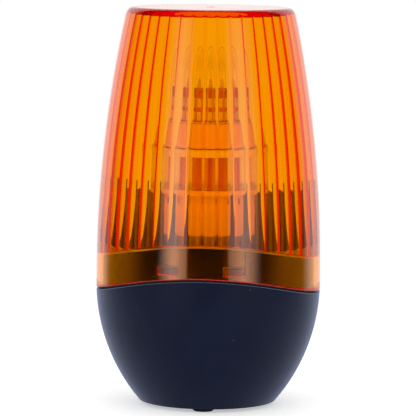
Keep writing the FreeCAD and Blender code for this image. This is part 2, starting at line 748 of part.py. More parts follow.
def make_screws():
    board_screws = []
    for index, (x, y) in enumerate(boss_places()):
        reach = "screw_reach + board_thickness"
        board_screws.append(make_screw("board_screw_%d" % index, board_top, reach, x, y))
    finish_piece(together("board_screws", board_screws), "board_screws")
    post_screws = []
    for index, (x, y) in enumerate(post_screw_places()):
        seat = board_top + " + post_foot_height"
        reach = "screw_reach + board_thickness + post_foot_height"
        post_screws.append(make_screw("post_screw_%d" % index, seat, reach, x, y))
    finish_piece(together("post_screws", post_screws), "post_screws")


def make_terminals():
    low = board_top
    solid = block("terminal_solid", "0", terminal_offset, low, "terminal_width", "terminal_depth",
                  "terminal_height")
    front = "(%s - terminal_depth / 2)" % terminal_offset
    tunnels = []
    screws = []
    cages = []
    for index, x in enumerate(("-pole_half_pitch", "pole_half_pitch")):
        tunnel_low = low + " + tunnel_low"
        tunnels.append(block("wire_tunnel_%d" % index, x, front + " + tunnel_depth / 2", tunnel_low,
                             "tunnel_width", "tunnel_depth", "tunnel_rise"))
        middle = front + " + tunnel_depth / 2 + cage_setback / 2"
        tunnels.append(cylinder("pole_shaft_%d" % index, "pole_screw_radius + 0.1",
                                tunnel_low + " + tunnel_rise / 2", "terminal_height", x, middle))
        cage_depth = "(tunnel_depth - cage_setback)"
        outer = block("cage_outer_%d" % index, x, middle, tunnel_low, "tunnel_width", cage_depth,
                      "tunnel_rise")
        inner = block("cage_inner_%d" % index, x, middle, tunnel_low + " + cage_wall",
                      "tunnel_width - 2 * cage_wall", cage_depth + " + 2", "tunnel_rise - 2 * cage_wall")
        cages.append(cut("cage_%d" % index, outer, [inner]))
        screw = cylinder("pole_screw_body_%d" % index, "pole_screw_radius", tunnel_low + " + tunnel_rise",
                         "pole_screw_length", x, middle)
        groove = block("pole_screw_groove_%d" % index, x, middle,
                       tunnel_low + " + tunnel_rise + pole_screw_length - 0.8", "4", "0.6", "2")
        screws.append(cut("pole_screw_%d" % index, screw, [groove]))
    finish_piece(cut("terminal_block", solid, tunnels), "terminal_block")
    finish_piece(together("terminal_cages", cages), "terminal_cages")
    finish_piece(together("terminal_screws", screws), "terminal_screws")


def make_board_parts():
    can = turned_body("capacitor_can", [
        ("0", "0"),
        ("capacitor_radius", "0"),
        ("capacitor_radius", "1.6"),
        ("capacitor_radius - 0.4", "2.2"),
        ("capacitor_radius", "2.8"),
        ("capacitor_radius", "capacitor_height - 0.6"),
        ("capacitor_radius - 0.6", "capacitor_height"),
        ("0", "capacitor_height"),
    ])
    can_x = capacitor_reach + " * cos(capacitor_angle)"
    can_y = capacitor_reach + " * sin(capacitor_angle)"
    place(can, can_x, can_y, board_top)
    finish_piece(together("capacitor", [can]), "smoothing_capacitor")
    lift = board_top + " + transistor_lift"
    middle_x = "(%s * cos(transistor_angle))" % transistor_reach
    middle_y = "(%s * sin(transistor_angle))" % transistor_reach
    tab_y = middle_y + " + transistor_body / 2 + transistor_tab / 2"
    tab = block("transistor_tab_plate", middle_x, tab_y, lift, "transistor_width", "transistor_tab",
                "transistor_height")
    package = block("transistor_package", middle_x, middle_y, lift, "transistor_width",
                    "transistor_body", "transistor_body_height")
    pieces = [tab, package]
    for step in (-1, 0, 1):
        x = "%s + (%d) * transistor_leg_pitch" % (middle_x, step)
        pieces.append(block("transistor_leg_%d" % (step + 1), x, middle_y, board_top, "transistor_leg",
                            "transistor_leg", "transistor_lift + 1"))
    finish_piece(fuse("transistor", pieces), "switching_transistor")
    middle_x = "(%s * cos(timer_angle))" % timer_reach
    middle_y = "(%s * sin(timer_angle))" % timer_reach
    package = block("timer_package", middle_x, middle_y, board_top + " + timer_lift", "timer_length",
                    "timer_width", "timer_rise")
    pieces = [package]
    for step in range(4):
        x = "%s + (%.1f) * timer_pin_pitch" % (middle_x, step - 1.5)
        for side in (-1, 1):
            y = "%s + (%d) * (timer_width / 2 + timer_pin / 2)" % (middle_y, side)
            pieces.append(block("timer_pin_%d_%d" % (step, side + 1), x, y, board_top, "timer_pin",
                                "timer_pin + 0.4", "timer_lift + timer_rise / 2"))
    finish_piece(fuse("timer", pieces), "timer_chip")


# Post and lamp holder
def make_post():
    band_high = holder_height + " - post_band_drop"
    band_low = band_high + " - post_band_height"
    head_low = holder_height + " - post_head_length"
    tube = turned_body("post_tube", [
        ("post_bore", board_top),
        ("post_foot_radius", board_top),
        ("post_foot_radius", board_top + " + post_foot_height"),
        ("post_radius", board_top + " + post_foot_height + 2"),
        ("post_radius", head_low),
        ("post_head_radius", head_low + " + post_head_cone"),
        ("post_head_radius", band_low),
        ("post_head_radius + post_band_step", band_low),
        ("post_head_radius + post_band_step", band_high),
        ("post_head_radius", band_high),
        ("post_head_radius", holder_height),
        ("post_head_radius - post_head_wall", holder_height),
        ("post_head_radius - post_head_wall", head_low + " + post_head_cone"),
        ("post_bore", head_low),
    ])
    ears = [block("post_bar", "0", "0", board_top, "2 * post_screw_offset", "2 * post_ear_radius",
                  "post_foot_height")]
    for index, (x, y) in enumerate(post_screw_places()):
        ears.append(cylinder("post_ear_%d" % index, "post_ear_radius", board_top, "post_foot_height", x, y))
    tools = [cylinder("post_bore_tool", "post_bore", board_top + " - 1", "post_foot_height + 4")]
    for index, (x, y) in enumerate(post_screw_places()):
        tools.append(cylinder("post_screw_hole_%d" % index, "screw_clearance_radius", board_top + " - 1",
                              "post_foot_height + 2", x, y))
        tools.append(cylinder("post_screw_room_%d" % index, "screw_head_radius + 0.2",
                              board_top + " + post_foot_height", "post_foot_height", x, y))
    slot_low = holder_height + " - slot_drop - slot_rise"
    for index, angle in enumerate((45, 135)):
        tools.append(block("post_slot_%d" % index, "0", "0", slot_low, "3 * post_head_radius", "slot_width",
                           "slot_rise", str(angle)))
    finish_piece(cut("lamp_post", fuse("post_solid", [tube] + ears), tools), "lamp_post")


def make_holder():
    floor_top = "(%s + holder_floor)" % holder_height
    plug_radius = "(post_head_radius - post_head_wall - plug_clearance)"
    plug_bore = "(%s - plug_wall)" % plug_radius
    solid = turned_body("holder_turned", [
        ("0", holder_height),
        (plug_bore, holder_height),
        (plug_bore, holder_height + " - plug_depth"),
        (plug_radius, holder_height + " - plug_depth"),
        (plug_radius, holder_height),
        ("holder_low_radius", holder_height),
        ("holder_top_radius", holder_top),
        ("holder_top_radius - holder_skirt", holder_top),
        ("holder_low_radius - holder_skirt", floor_top),
        ("holder_core_radius", floor_top),
        ("holder_core_radius", holder_top),
        ("sleeve_bore + sleeve_wall", holder_top),
        ("sleeve_bore + sleeve_wall", floor_top),
        ("0", floor_top),
    ])
    tools = []
    for index, x in enumerate(("-lead_offset", "lead_offset")):
        tools.append(cylinder("lead_hole_%d" % index, "lead_hole_radius", holder_height + " - 1",
                              "holder_floor + 2", x))
    finish_piece(cut("holder_body", solid, tools), "holder_body")

    ring = turned_body("holder_ring", [
        ("ring_bore", holder_top),
        ("ring_radius", holder_top),
        ("ring_radius", holder_top + " + ring_height - 0.5"),
        ("ring_radius - 0.5", holder_top + " + ring_height"),
        ("ring_bore", holder_top + " + ring_height"),
    ])
    grip = ("ring_radius + grip_outset", "0", "grip_radius")
    sketch = draw_circles(new_sketch(ring, "grip_outline", "XY_Plane"), [grip])
    notch = pocket_through(ring, "grip_notch", sketch)
    polar_pattern(ring, "grip_notches", notch, "grip_count")
    finish_piece(ring, "holder_ring")

    tube = turned_body("sleeve_tube", [
        ("sleeve_bore", floor_top),
        ("sleeve_bore + sleeve_wall", floor_top),
        ("sleeve_bore + sleeve_wall", holder_top + " - 0.6"),
        ("sleeve_bore", holder_top + " - 0.6"),
    ])
    tab_end = "(sleeve_bore + sleeve_wall / 2)"
    tab = block("sleeve_tab", "(sleeve_tab_start + %s) / 2" % tab_end, "0", floor_top,
                "%s - sleeve_tab_start" % tab_end, "contact_width", "contact_thickness")
    finish_piece(fuse("holder_sleeve", [tube, tab]), "holder_sleeve")

    strip = block("contact_strip", "(contact_front - contact_back) / 2", "0", floor_top,
                  "contact_front + contact_back", "contact_width", "contact_thickness")
    finish_piece(together("holder_contact", [strip]), "holder_contact")

    leads = []
    for index, x in enumerate(("-lead_offset", "lead_offset")):
        lead_rise = "%s - %s" % (floor_top, board_top)
        leads.append(cylinder("lead_%d" % index, "lead_radius", board_top, lead_rise, x))
    finish_piece(together("lamp_leads", leads), "lamp_leads")


# Lamp
def make_lamp():
    tip = turned_body("lamp_tip", [
        ("0", tip_low),
        ("tip_radius * 0.7", tip_low),
        ("tip_radius", tip_low + " + tip_height / 2"),
        ("tip_radius", insulator_low),
        ("0", insulator_low),
    ])
    finish_piece(tip, "lamp_tip")
    insulator = turned_body("cap_insulator", [
        ("0", insulator_low),
        ("insulator_low_radius", insulator_low),
        ("insulator_radius", cap_low),
        ("insulator_radius", cap_low + " + insulator_plug"),
        ("0", cap_low + " + insulator_plug"),
    ])
    finish_piece(insulator, "cap_insulator")
    cap = turned_body("lamp_cap", [
        ("cap_mouth", cap_low),
        ("cap_radius - cap_chamfer", cap_low),
        ("cap_radius", cap_low + " + cap_chamfer"),
        ("cap_radius", collar_seat),
        ("cap_radius - cap_wall", collar_seat),
        ("cap_radius - cap_wall", cap_low + " + cap_chamfer + cap_wall"),
        ("cap_radius - cap_chamfer", cap_low + " + cap_wall"),
        ("cap_mouth", cap_low + " + cap_wall"),
    ])
    finish_piece(cap, "lamp_cap")
    plug_radius = "(cover_radius - cover_wall - cover_clearance)"
    flare = turned_body("lamp_collar", [
        ("0", collar_seat),
        ("flare_low_radius", collar_seat),
        ("flare_low_radius", collar_seat + " + flare_edge"),
        ("flare_top_radius", flare_top),
        (plug_radius, flare_top),
        (plug_radius, core_low),
        ("0", core_low),
    ])
    finish_piece(flare, "lamp_collar")
    core = doc.addObject("Part::Prism", "core_prism")
    core.Polygon = 6
    bind(core, Circumradius="core_half_width / cos(30)", Height="core_height")
    place(core, z=core_low)
    finish_piece(together("led_column", [core]), "led_core")
    chips = []
    for row, row_low in (("low", chip_row_low), ("high", chip_row_high)):
        for side in range(6):
            angle = 30 + 60 * side
            reach = "(core_half_width + chip_depth / 2)"
            x = "%s * cos(%d)" % (reach, angle)
            y = "%s * sin(%d)" % (reach, angle)
            name = "chip_%s_%d" % (row, side)
            chips.append(block(name, x, y, row_low, "chip_depth", "chip_width", "chip_height", str(angle)))
    finish_piece(together("led_chips", chips), "led_chips")
    board = cylinder("end_board", "top_board_radius", core_top, "top_board_height")
    finish_piece(together("led_end_board", [board]), "led_top_board")
    end_low = "(%s + top_board_height)" % core_top
    dome_low = "(%s + end_led_foot)" % end_low
    end_led = turned_body("end_led", [
        ("0", end_low),
        ("end_led_radius", end_low),
        ("end_led_radius", dome_low, "end_led_radius", "left"),
        ("0", dome_low + " + end_led_radius"),
    ])
    finish_piece(end_led, "end_led")
    dome_start = "(%s - cover_radius)" % cover_top
    cover = turned_body("lamp_cover", [
        ("cover_radius - cover_wall", flare_top),
        ("cover_radius", flare_top),
        ("cover_radius", dome_start, "cover_radius", "left"),
        ("0", cover_top),
        ("0", cover_top + " - cover_wall", "cover_radius - cover_wall", "right"),
        ("cover_radius - cover_wall", dome_start),
    ])
    finish_piece(cover, "lamp_cover")


make_base()
make_feet()
make_grommet()
make_gasket()
make_lens()
make_board()
make_screws()
make_terminals()
make_board_parts()
make_post()
make_holder()
make_lamp()

doc.recompute()
for item in doc.Objects:
    if "Invalid" in item.State or "Error" in item.State:
        raise RuntimeError(item.Name + " did not compute")
for item in nodes:
    if item.Shape.isNull() or not item.Shape.isValid() or not item.Shape.Solids:
        raise RuntimeError(item.Label + " has no valid solid")

os.makedirs("parts", exist_ok=True)
for item in nodes:
    item.Shape.exportStep("parts/%s.step" % item.Label)
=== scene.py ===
# Warning light: amber fluted lens on a dark bowl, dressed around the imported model
import math

import bmesh
import bpy
from mathutils import Matrix, Vector


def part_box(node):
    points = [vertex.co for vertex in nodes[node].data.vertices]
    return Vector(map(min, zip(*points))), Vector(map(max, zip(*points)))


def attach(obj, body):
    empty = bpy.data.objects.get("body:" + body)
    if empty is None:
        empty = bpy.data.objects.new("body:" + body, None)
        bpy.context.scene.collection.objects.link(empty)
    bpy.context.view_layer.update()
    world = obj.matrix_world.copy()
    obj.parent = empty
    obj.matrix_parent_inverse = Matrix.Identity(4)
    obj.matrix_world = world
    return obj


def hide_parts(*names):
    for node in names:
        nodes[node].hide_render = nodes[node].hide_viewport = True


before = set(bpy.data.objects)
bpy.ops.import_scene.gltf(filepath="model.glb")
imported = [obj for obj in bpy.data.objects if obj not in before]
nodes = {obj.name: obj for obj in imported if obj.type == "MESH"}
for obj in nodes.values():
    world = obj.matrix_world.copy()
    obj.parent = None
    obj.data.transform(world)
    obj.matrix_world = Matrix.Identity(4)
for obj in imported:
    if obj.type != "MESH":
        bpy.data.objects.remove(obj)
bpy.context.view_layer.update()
mm = 0.001
footHeight = 1.6    # mm, heights of lens and cover count from the underside of the bowl, above its feet
print("frame loaded:", len(nodes), "nodes")


# Small helpers

def linearColour(code):
    channels = [int(code[i:i + 2], 16) / 255 for i in (1, 3, 5)]
    return [c / 12.92 if c <= 0.04045 else ((c + 0.055) / 1.055) ** 2.4 for c in channels] + [1.0]


def addNode(tree, kind, inputs=None, **settings):
    node = tree.nodes.new(kind)
    for name, value in settings.items():
        setattr(node, name, value)
    for socket, value in (inputs or {}).items():
        if isinstance(value, bpy.types.NodeSocket):
            tree.links.new(value, node.inputs[socket])
        else:
            node.inputs[socket].default_value = value
    return node


def startMaterial(name):
    material = bpy.data.materials.new(name)
    material.use_nodes = True
    tree = material.node_tree
    tree.nodes.clear()
    return material, tree, addNode(tree, "ShaderNodeTexCoord").outputs["Object"]


def per(millimetres):
    return 1 / (millimetres * mm)    # texture scale for a feature of that size


# Distance from the lamp's axis, and height
def aroundAxis(tree, place):
    parts = addNode(tree, "ShaderNodeSeparateXYZ", {"Vector": place}).outputs
    flat = addNode(tree, "ShaderNodeCombineXYZ", {"X": parts["X"], "Y": parts["Y"]})
    radius = addNode(tree, "ShaderNodeVectorMath", {0: flat.outputs[0]}, operation="LENGTH")
    return radius.outputs["Value"], parts["Z"]


# Shadow rays go straight through clear plastic, so that the lamps reach what is behind it
def letLightPass(tree, glass, shadowTint):
    straight = addNode(tree, "ShaderNodeBsdfTransparent", {"Color": linearColour(shadowTint)})
    path = addNode(tree, "ShaderNodeLightPath")
    return addNode(tree, "ShaderNodeMixShader", {
        0: path.outputs["Is Shadow Ray"], 1: glass.outputs[0], 2: straight.outputs[0]})


def keepPiece(name, bm, material, body, sharpAngle):
    bmesh.ops.remove_doubles(bm, verts=bm.verts, dist=0.001 * mm)
    bmesh.ops.recalc_face_normals(bm, faces=bm.faces)
    mesh = bpy.data.meshes.new(name)
    bm.to_mesh(mesh)
    bm.free()
    for polygon in mesh.polygons:
        polygon.use_smooth = True
    mesh.set_sharp_from_angle(angle=math.radians(sharpAngle))
    mesh.materials.append(material)
    piece = bpy.data.objects.new(name, mesh)
    bpy.context.scene.collection.objects.link(piece)
    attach(piece, body)
    return piece


def dress(material, *names):
    for name in names:
        slots = nodes[name].data.materials
        slots.clear()
        slots.append(material)


# Materials

# Amber acrylic, moulded in a polished tool: clear and glossy, orange straight through a wall
# and red where light runs along it
amberSettings = {
    "tint": "#FFF5C8",
    "shadowTint": "#FFFAE4",            # per face, for light on its way to the inner pieces
    "index": 1.49,
    "absorbed": (2.0, 144.0, 1200.0),   # per metre, red green blue
    "polish": (0.012, 0.035),
    "hazeSize": 11.0,                   # mm, faint cloudiness of the moulding
    "flowSize": 24.0,                   # mm, slow waves of the wall
}


def amberAcrylic():
    s = amberSettings
    material, tree, place = startMaterial("amber_acrylic")
    haze = addNode(tree, "ShaderNodeTexNoise", {
        "Vector": place, "Scale": per(s["hazeSize"]), "Detail": 3.0})
    rough = addNode(tree, "ShaderNodeMapRange", {
        "Value": haze.outputs["Fac"], "From Min": 0.35, "From Max": 0.7,
        "To Min": s["polish"][0], "To Max": s["polish"][1]})
    flow = addNode(tree, "ShaderNodeTexNoise", {
        "Vector": place, "Scale": per(s["flowSize"]), "Detail": 1.0})
    bump = addNode(tree, "ShaderNodeBump", {
        "Height": flow.outputs["Fac"], "Strength": 0.05, "Distance": 0.2 * mm})
    glass = addNode(tree, "ShaderNodeBsdfPrincipled", {
        "Base Color": linearColour(s["tint"]), "Roughness": rough.outputs["Result"], "IOR": s["index"],
        "Transmission Weight": 1.0, "Normal": bump.outputs["Normal"]})
    surface = letLightPass(tree, glass, s["shadowTint"])
    density = max(s["absorbed"])
    passed = [1 - value / density for value in s["absorbed"]] + [1.0]
    inside = addNode(tree, "ShaderNodeVolumeAbsorption", {"Color": passed, "Density": density})
    addNode(tree, "ShaderNodeOutputMaterial", {"Surface": surface.outputs[0], "Volume": inside.outputs[0]})
    return material


# Clear polycarbonate: water-clear with a faint warm tint and fine moulding haze
clearSettings = {"tint": "#FFFBF2", "index": 1.5, "polish": (0.02, 0.07), "hazeSize": 6.0}


def clearPolycarbonate():
    s = clearSettings
    material, tree, place = startMaterial("clear_polycarbonate")
    haze = addNode(tree, "ShaderNodeTexNoise", {
        "Vector": place, "Scale": per(s["hazeSize"]), "Detail": 3.0})
    rough = addNode(tree, "ShaderNodeMapRange", {
        "Value": haze.outputs["Fac"], "To Min": s["polish"][0], "To Max": s["polish"][1]})
    glass = addNode(tree, "ShaderNodeBsdfPrincipled", {
        "Base Color": linearColour(s["tint"]), "Roughness": rough.outputs["Result"], "IOR": s["index"],
        "Transmission Weight": 1.0})
    surface = letLightPass(tree, glass, s["tint"])
    addNode(tree, "ShaderNodeOutputMaterial", {"Surface": surface.outputs[0]})
    return material


# Frosted polycarbonate, moulded in an etched tool: the holder's cup lets light pass and spreads it,
# while its floor and core are solid coloured
frostedSettings = {
    "tint": "#FFF2E4",
    "shadowTint": "#C8C0B8",
    "rough": (0.1, 0.2),
    "cloudSize": 5.0,       # mm
    "core": "#FF8A5C",
    "coreRadius": 9.4,      # mm
    "floor": "#FFC896",
    "floorTop": 92.2,       # mm
}


def frostedPolycarbonate():
    s = frostedSettings
    material, tree, place = startMaterial("frosted_polycarbonate")
    cloud = addNode(tree, "ShaderNodeTexNoise", {
        "Vector": place, "Scale": per(s["cloudSize"]), "Detail": 3.0})
    rough = addNode(tree, "ShaderNodeMapRange", {
        "Value": cloud.outputs["Fac"], "From Min": 0.3, "From Max": 0.7,
        "To Min": s["rough"][0], "To Max": s["rough"][1]})
    bump = addNode(tree, "ShaderNodeBump", {
        "Height": cloud.outputs["Fac"], "Strength": 0.1, "Distance": 0.1 * mm})
    radius, height = aroundAxis(tree, place)
    outside = addNode(tree, "ShaderNodeMath", {
        0: radius, 1: s["coreRadius"] * mm}, operation="GREATER_THAN")
    above = addNode(tree, "ShaderNodeMath", {
        0: height, 1: s["floorTop"] * mm}, operation="GREATER_THAN")
    cup = addNode(tree, "ShaderNodeMath", {
        0: outside.outputs[0], 1: above.outputs[0]}, operation="MULTIPLY")
    solid = addNode(tree, "ShaderNodeMix", {
        0: above.outputs[0], 6: linearColour(s["floor"]), 7: linearColour(s["core"])}, data_type="RGBA")
    colour = addNode(tree, "ShaderNodeMix", {
        0: cup.outputs[0], 6: solid.outputs[2], 7: linearColour(s["tint"])}, data_type="RGBA")
    body = addNode(tree, "ShaderNodeBsdfPrincipled", {
        "Base Color": colour.outputs[2], "Roughness": rough.outputs["Result"], "IOR": 1.5,
        "Transmission Weight": cup.outputs[0], "Normal": bump.outputs["Normal"]})
    surface = letLightPass(tree, body, s["shadowTint"])
    addNode(tree, "ShaderNodeOutputMaterial", {"Surface": surface.outputs[0]})
    return material


# Navy ABS: spark-eroded matte grain outside with a pale bloom at its edges and some dust,
# smooth where spigot and inner wall, drawn from the tool, show through the amber. The spigot has a painted
# warm tint in its gloss, and the inner faces of the wall are painted pale for the orange light inside the
# lens
navySettings = {
    "deep": "#050C1E",
    "lifted": "#0A1530",
    "grainSize": 0.9,        # mm, the real grain of 0.3 mm is drawn coarser so that it shows
    "mottleSize": 14.0,      # mm
    "matte": (0.38, 0.5),
    "specular": 0.12,
    "bloom": "#ACB8E0",
    "bloomRough": 0.37,
    "dust": "#8E95A3",
    "dustSize": 5.5,         # mm between dust specks
    "drawnRough": 0.16,
    "drawnInside": 45.2,     # mm from the axis, for all that stands above the bowl
    "drawnAbove": 40.0,      # mm
    "rim": "#5E4040",        # painted warm tint of the spigot's gloss behind the collar: a warm metal that reddens its reflections
    "pale": "#A8866F",       # painted light: inner faces of the wall, pale for the orange light inside the lens
    "paleInside": 43.2,      # mm from the axis
}


def navyAbs():
    s = navySettings
    material, tree, place = startMaterial("navy_abs")
    grain = addNode(tree, "ShaderNodeTexNoise", {
        "Vector": place, "Scale": per(s["grainSize"]), "Detail": 2.0})
    mottle = addNode(tree, "ShaderNodeTexNoise", {
        "Vector": place, "Scale": per(s["mottleSize"]), "Detail": 4.0})
    colour = addNode(tree, "ShaderNodeMix", {
        0: mottle.outputs["Fac"], 6: linearColour(s["deep"]), 7: linearColour(s["lifted"])},
        data_type="RGBA")
    specks = addNode(tree, "ShaderNodeTexVoronoi", {
        "Vector": place, "Scale": per(s["dustSize"]), "Randomness": 1.0})
    dust = addNode(tree, "ShaderNodeMapRange", {
        "Value": specks.outputs["Distance"], "From Min": 0.02, "From Max": 0.05,
        "To Min": 0.35, "To Max": 0.0})
    dusty = addNode(tree, "ShaderNodeMix", {
        0: dust.outputs["Result"], 6: colour.outputs[2], 7: linearColour(s["dust"])}, data_type="RGBA")
    matte = addNode(tree, "ShaderNodeMapRange", {
        "Value": grain.outputs["Fac"], "From Min": 0.3, "From Max": 0.7,
        "To Min": s["matte"][0], "To Max": s["matte"][1]})
    radius, height = aroundAxis(tree, place)
    near = addNode(tree, "ShaderNodeMath", {0: radius, 1: s["drawnInside"] * mm}, operation="LESS_THAN")
    high = addNode(tree, "ShaderNodeMath", {0: height, 1: s["drawnAbove"] * mm}, operation="GREATER_THAN")
    drawn = addNode(tree, "ShaderNodeMath", {
        0: near.outputs[0], 1: high.outputs[0]}, operation="MULTIPLY")
    # Painted light: the inner faces of the wall get the pale colour, and a coat
    within = addNode(tree, "ShaderNodeMath", {0: radius, 1: s["paleInside"] * mm}, operation="LESS_THAN")
    innerWall = addNode(tree, "ShaderNodeMath", {
        0: within.outputs[0], 1: high.outputs[0]}, operation="MULTIPLY")
    # Painted reflection tint: the spigot's face between the two radii reflects as a warm metal; the
    # reflections are real, their reddish tone is painted
    rim = addNode(tree, "ShaderNodeMath", {
        0: drawn.outputs[0], 1: innerWall.outputs[0]}, operation="SUBTRACT")
    rimTinted = addNode(tree, "ShaderNodeMix", {
        0: rim.outputs[0], 6: dusty.outputs[2], 7: linearColour(s["rim"])}, data_type="RGBA")
    colourWithPaintedLight = addNode(tree, "ShaderNodeMix", {
        0: innerWall.outputs[0], 6: rimTinted.outputs[2], 7: linearColour(s["pale"])}, data_type="RGBA")
    rough = addNode(tree, "ShaderNodeMix", {
        0: drawn.outputs[0], 2: matte.outputs["Result"], 3: s["drawnRough"]}, data_type="FLOAT")
    bump = addNode(tree, "ShaderNodeBump", {
        "Height": grain.outputs["Fac"], "Strength": 0.18, "Distance": 0.12 * mm})
    shell = addNode(tree, "ShaderNodeBsdfPrincipled", {
        "Base Color": colourWithPaintedLight.outputs[2], "Roughness": rough.outputs[0], "IOR": 1.45,
        "Metallic": rim.outputs[0], "Specular IOR Level": s["specular"],
        "Coat Weight": innerWall.outputs[0], "Coat Roughness": s["drawnRough"], "Coat IOR": 1.75,
        "Sheen Weight": 1.0, "Sheen Roughness": s["bloomRough"], "Sheen Tint": linearColour(s["bloom"]),
        "Normal": bump.outputs["Normal"]})
    addNode(tree, "ShaderNodeOutputMaterial", {"Surface": shell.outputs[0]})
    return material


# Moulded plastics, rubbers and the lamp's bare boards share one build: a fine grain for bump and gloss,
# slow clouds for colour. Sizes are in mm
mouldedSettings = {
    # dull and slightly gritty
    "black_rubber": {
        "low": "#0B0B0C", "high": "#1A1A1B", "rough": (0.72, 0.9), "grain": 1.2, "bump": 0.3},
    "dark_silicone": {
        "low": "#0B0B0D", "high": "#151518", "rough": (0.8, 0.92), "grain": 1.5, "bump": 0.15},
    # satin plastic with an apricot tone painted in for the amber light inside the lens, the second also with
    # painted shade inside the post's head, the third nearly white
    "apricot_pbt": {
        "low": "#FFC08C", "high": "#FFD0A0", "rough": (0.34, 0.46), "grain": 1.4, "bump": 0.08},
    "hollow_pbt": {
        "low": "#FFB884", "high": "#FFC898", "rough": (0.34, 0.46), "grain": 1.4, "bump": 0.08,
        # painted shade: dark colour inside the post's head, near the axis and above 72 mm
        "hollow": {"radius": 12.9, "above": 72.0, "colour": "#2A0E06"}},
    "cream_pbt": {
        "low": "#FFE2B4", "high": "#FFEFCC", "rough": (0.3, 0.42), "grain": 1.4, "bump": 0.08},
    # satin green of connectors
    "green_polyamide": {
        "low": "#1E5A38", "high": "#2B7549", "rough": (0.42, 0.55), "grain": 0.8, "bump": 0.12},
    # glossy and nearly black
    "black_bakelite": {
        "low": "#0D0C0C", "high": "#1B1918", "rough": (0.2, 0.32), "grain": 0.9, "bump": 0.05},
    # smooth insulation
    "red_wire_pvc": {
        "low": "#7E1210", "high": "#9C1B16", "rough": (0.3, 0.42), "grain": 1.0, "bump": 0.05},
    # lacquered copper without shine
    "copper_clad_board": {
        "low": "#D87040", "high": "#E88450", "rough": (0.38, 0.5), "grain": 1.0, "bump": 0.05},
}

mouldedCloud = 9.0    # mm, slow changes of colour


def mouldedPlastic(name):
    s = mouldedSettings[name]
    material, tree, place = startMaterial(name)
    grain = addNode(tree, "ShaderNodeTexNoise", {"Vector": place, "Scale": per(s["grain"]), "Detail": 3.0})
    cloud = addNode(tree, "ShaderNodeTexNoise", {"Vector": place, "Scale": per(mouldedCloud), "Detail": 3.0})
    colour = addNode(tree, "ShaderNodeMix", {
        0: cloud.outputs["Fac"], 6: linearColour(s["low"]), 7: linearColour(s["high"])}, data_type="RGBA")
    # Painted shade: inside a hollow, near the axis and above a height, the colour turns dark
    if "hollow" in s:
        hollow = s["hollow"]
        radius, height = aroundAxis(tree, place)
        near = addNode(tree, "ShaderNodeMath", {
            0: radius, 1: hollow["radius"] * mm}, operation="LESS_THAN")
        high = addNode(tree, "ShaderNodeMath", {
            0: height, 1: hollow["above"] * mm}, operation="GREATER_THAN")
        shade = addNode(tree, "ShaderNodeMath", {
            0: near.outputs[0], 1: high.outputs[0]}, operation="MULTIPLY")
        colour = addNode(tree, "ShaderNodeMix", {
            0: shade.outputs[0], 6: colour.outputs[2], 7: linearColour(hollow["colour"])}, data_type="RGBA")
    rough = addNode(tree, "ShaderNodeMapRange", {
        "Value": grain.outputs["Fac"], "From Min": 0.3, "From Max": 0.7,
        "To Min": s["rough"][0], "To Max": s["rough"][1]})
    bump = addNode(tree, "ShaderNodeBump", {
        "Height": grain.outputs["Fac"], "Strength": s["bump"], "Distance": 0.1 * mm})
    shell = addNode(tree, "ShaderNodeBsdfPrincipled", {
        "Base Color": colour.outputs[2], "Roughness": rough.outputs["Result"], "IOR": 1.5,
        "Normal": bump.outputs["Normal"]})
    addNode(tree, "ShaderNodeOutputMaterial", {"Surface": shell.outputs[0]})
    return material


# Plated and rolled metals: bright, with fine drawn lines round the axis (mm apart) and a little tarnish
metalSettings = {
    "zinc_plated_steel": {"low": "#8E9093", "high": "#B9BCBE", "rough": (0.26, 0.42), "lines": 0.25},
    "nickel_plated_brass": {"low": "#B7B1A4", "high": "#D8D3C8", "rough": (0.16, 0.3), "lines": 0.4},
    "rolled_brass": {"low": "#A8823C", "high": "#CFA95A", "rough": (0.22, 0.38), "lines": 0.5},
    "coppered_steel": {"low": "#C46A48", "high": "#E08E6C", "rough": (0.45, 0.6), "lines": 0.5},
    "tin_solder": {"low": "#9B9C9B", "high": "#C6C6C2", "rough": (0.2, 0.45), "lines": 1.2},
}

tarnishSize = 3.0                # mm
drawnLines = (0.15, 0.15, 1.0)    # stretched level, so that they run round the axis


def platedMetal(name):
    s = metalSettings[name]
    material, tree, place = startMaterial(name)
    stretched = addNode(tree, "ShaderNodeMapping", {"Vector": place, "Scale": drawnLines})
    lines = addNode(tree, "ShaderNodeTexNoise", {
        "Vector": stretched.outputs[0], "Scale": per(s["lines"]), "Detail": 2.0})
    tarnish = addNode(tree, "ShaderNodeTexNoise", {"Vector": place, "Scale": per(tarnishSize), "Detail": 4.0})
    colour = addNode(tree, "ShaderNodeMix", {
        0: tarnish.outputs["Fac"], 6: linearColour(s["low"]), 7: linearColour(s["high"])}, data_type="RGBA")
    rough = addNode(tree, "ShaderNodeMapRange", {
        "Value": lines.outputs["Fac"], "From Min": 0.3, "From Max": 0.7,
        "To Min": s["rough"][0], "To Max": s["rough"][1]})
    bump = addNode(tree, "ShaderNodeBump", {
        "Height": lines.outputs["Fac"], "Strength": 0.08, "Distance": 0.05 * mm})
    shell = addNode(tree, "ShaderNodeBsdfPrincipled", {
        "Base Color": colour.outputs[2], "Metallic": 1.0, "Roughness": rough.outputs["Result"],
        "Normal": bump.outputs["Normal"]})
    addNode(tree, "ShaderNodeOutputMaterial", {"Surface": shell.outputs[0]})
    return material


# Glass-epoxy board under green solder resist: satin green with paler copper tracks showing through
resistSettings = {
    "low": "#0E3D24", "high": "#165433", "weave": 1.1, "rough": (0.28, 0.45),
    "track": "#2E7A49", "trackWidth": 0.55, "trackRun": 9.0, "trackPitch": 5.1,    # mm
}


